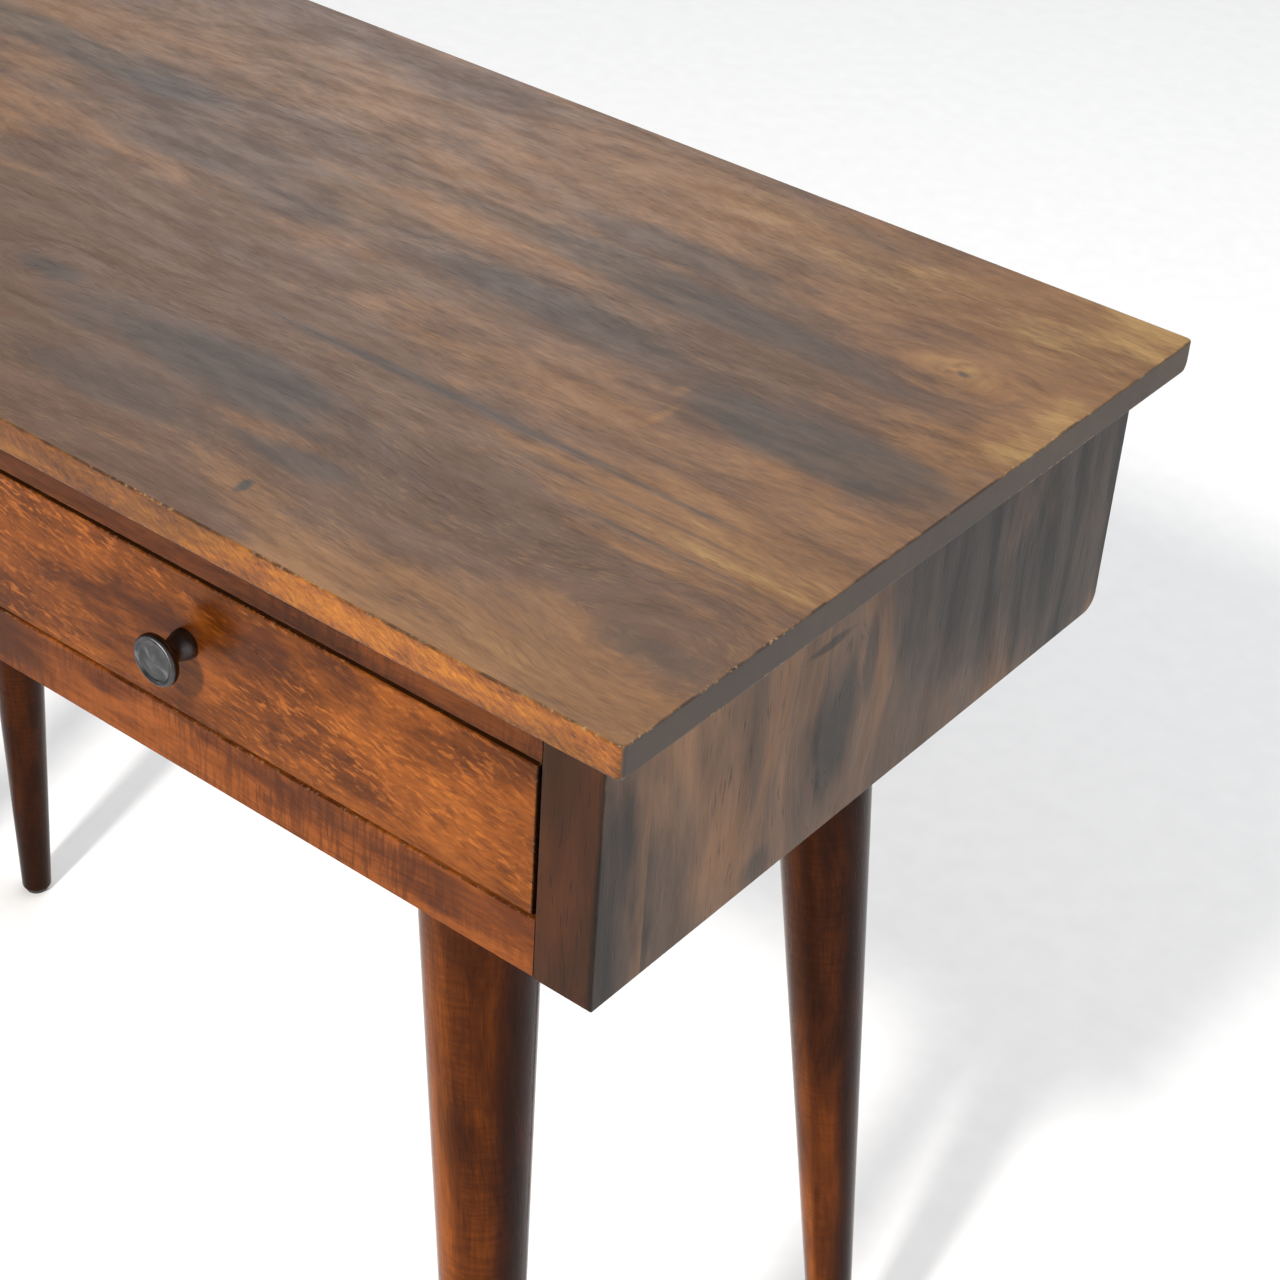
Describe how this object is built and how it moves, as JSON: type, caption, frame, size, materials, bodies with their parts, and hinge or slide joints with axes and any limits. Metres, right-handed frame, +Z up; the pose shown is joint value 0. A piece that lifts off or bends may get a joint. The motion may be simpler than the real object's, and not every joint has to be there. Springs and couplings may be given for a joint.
{
  "type": "side table with drawers",
  "caption": "Wide wooden side table with drawers side by side, each with a round metal knob, on splayed tapered legs.",
  "frame": {"origin": "on the floor, under the middle of the table's whole width and depth, knobs included", "axes": "+Z up, +X to the table's right as seen from its front, -Y towards the front, where the drawers open"},
  "size_m": [0.89, 0.418, 0.76],
  "materials": {
    "top_wood": "satin lacquer over chestnut stain",
    "panel_wood": "satin lacquer over dark chestnut stain",
    "rail_wood": "satin lacquer over chestnut stain",
    "front_wood": "satin lacquer over chestnut stain",
    "leg_wood": "gloss lacquer over dark stain",
    "bare_wood": "sanded, thin oil",
    "plywood": "sanded, thin oil",
    "dark_metal": "black nickel, polished",
    "zinc_steel": "bright zinc",
    "nylon": "matte"
  },
  "bodies": {
    "frame": {"top_panel": "top_wood", "left_side_panel": "panel_wood", "right_side_panel": "panel_wood", "centre_divider": "panel_wood", "top_front_rail": "rail_wood", "bottom_front_rail": "rail_wood", "back_panel": "panel_wood", "left_leg_batten": "panel_wood", "right_leg_batten": "panel_wood", "left_outer_runner": "bare_wood", "left_inner_runner": "bare_wood", "right_inner_runner": "bare_wood", "right_outer_runner": "bare_wood", "left_outer_kicker": "bare_wood", "left_inner_kicker": "bare_wood", "right_inner_kicker": "bare_wood", "right_outer_kicker": "bare_wood", "drawer_stops": "bare_wood", "case_dowels": "bare_wood", "batten_dowels": "bare_wood", "batten_screws": "zinc_steel", "runner_screws": "zinc_steel", "top_screws": "zinc_steel", "front_left_leg": "leg_wood", "front_right_leg": "leg_wood", "back_left_leg": "leg_wood", "back_right_leg": "leg_wood", "leg_bolts": "zinc_steel", "leg_washers": "zinc_steel", "leg_nuts": "zinc_steel", "foot_glides": "nylon"},
    "left_drawer": {"left_drawer_front": "front_wood", "left_drawer_outer_side": "bare_wood", "left_drawer_inner_side": "bare_wood", "left_drawer_back": "bare_wood", "left_drawer_bottom": "plywood", "left_knob": "dark_metal", "left_knob_screw": "zinc_steel"},
    "right_drawer": {"right_drawer_front": "front_wood", "right_drawer_outer_side": "bare_wood", "right_drawer_inner_side": "bare_wood", "right_drawer_back": "bare_wood", "right_drawer_bottom": "plywood", "right_knob": "dark_metal", "right_knob_screw": "zinc_steel"}
  },
  "joints": [
    {"name": "left_drawer_slide", "type": "slide", "parent": "frame", "child": "left_drawer", "axis": [0, -1, 0], "range_m": [0, 0.25]},
    {"name": "right_drawer_slide", "type": "slide", "parent": "frame", "child": "right_drawer", "axis": [0, -1, 0], "range_m": [0, 0.25]}
  ]
}
